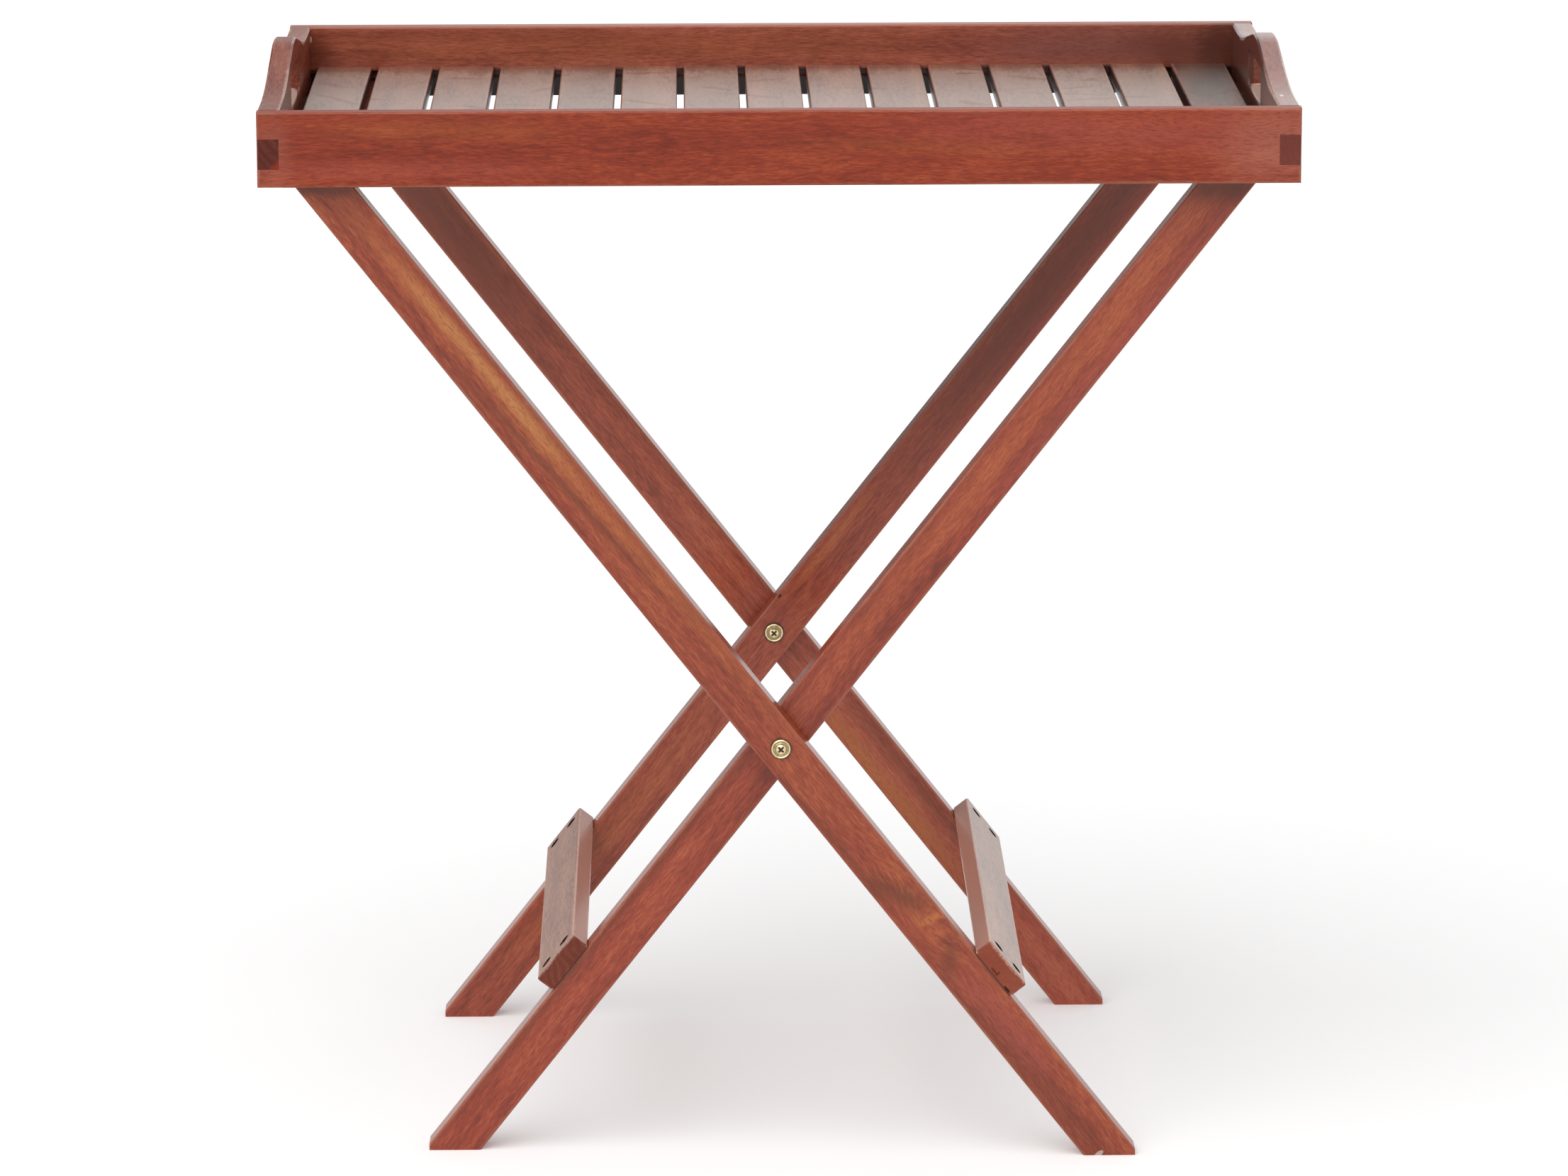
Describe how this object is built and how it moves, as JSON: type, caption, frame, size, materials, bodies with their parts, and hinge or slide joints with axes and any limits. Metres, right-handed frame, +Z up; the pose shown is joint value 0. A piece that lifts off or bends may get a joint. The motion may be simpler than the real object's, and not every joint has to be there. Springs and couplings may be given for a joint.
{
  "type": "folding tray side table",
  "caption": "Folding outdoor side table: slatted hardwood tray with raised end handles and hand slots, resting on a crossed-leg stand that folds flat about pivot bolts.",
  "frame": {"origin": "on the floor, under the middle of the tray, midway between the four feet", "axes": "+X along the tray, +Y from the front to the back, +Z up"},
  "size_m": [0.62, 0.38, 0.6683],
  "materials": {
    "tray_wood": "satin red-brown stain, fine straight grain",
    "slat_wood": "satin red-brown stain, fine straight grain",
    "stand_wood": "satin red-brown stain with paler streaks",
    "pivot_brass": "yellow zinc plate, slightly worn",
    "screw_steel": "dull zinc",
    "washer_nylon": "plain black"
  },
  "bodies": {
    "outer_frame": {"outer_front_leg": "stand_wood", "outer_back_leg": "stand_wood", "outer_lower_plank": "stand_wood", "outer_top_bar": "stand_wood", "outer_plank_screws": "screw_steel", "pivot_bolts": "pivot_brass", "pivot_sleeve_nuts": "pivot_brass", "pivot_washers": "washer_nylon"},
    "inner_frame": {"inner_front_leg": "stand_wood", "inner_back_leg": "stand_wood", "inner_lower_plank": "stand_wood", "inner_top_bar": "stand_wood", "inner_plank_screws": "screw_steel"},
    "tray": {"tray_front_rail": "tray_wood", "tray_back_rail": "tray_wood", "tray_left_end": "tray_wood", "tray_right_end": "tray_wood", "slat_01": "slat_wood", "slat_02": "slat_wood", "slat_03": "slat_wood", "slat_04": "slat_wood", "slat_05": "slat_wood", "slat_06": "slat_wood", "slat_07": "slat_wood", "slat_08": "slat_wood", "slat_09": "slat_wood", "slat_10": "slat_wood", "slat_11": "slat_wood", "slat_12": "slat_wood", "slat_13": "slat_wood", "slat_14": "slat_wood", "slat_15": "slat_wood"}
  },
  "joints": [
    {"name": "stand_fold", "type": "hinge", "parent": "outer_frame", "child": "inner_frame", "pos_m": [0, 0, 0.2585], "axis": [0, -1, 0], "range_deg": [0, 70]},
    {"name": "tray_lift", "type": "slide", "parent": "outer_frame", "child": "tray", "axis": [0, 0, 1], "range_m": [0, 0.49]}
  ],
  "couplings": [
    {"joint": "tray_lift", "follows": "stand_fold", "m_per_rad": 0.4}
  ]
}
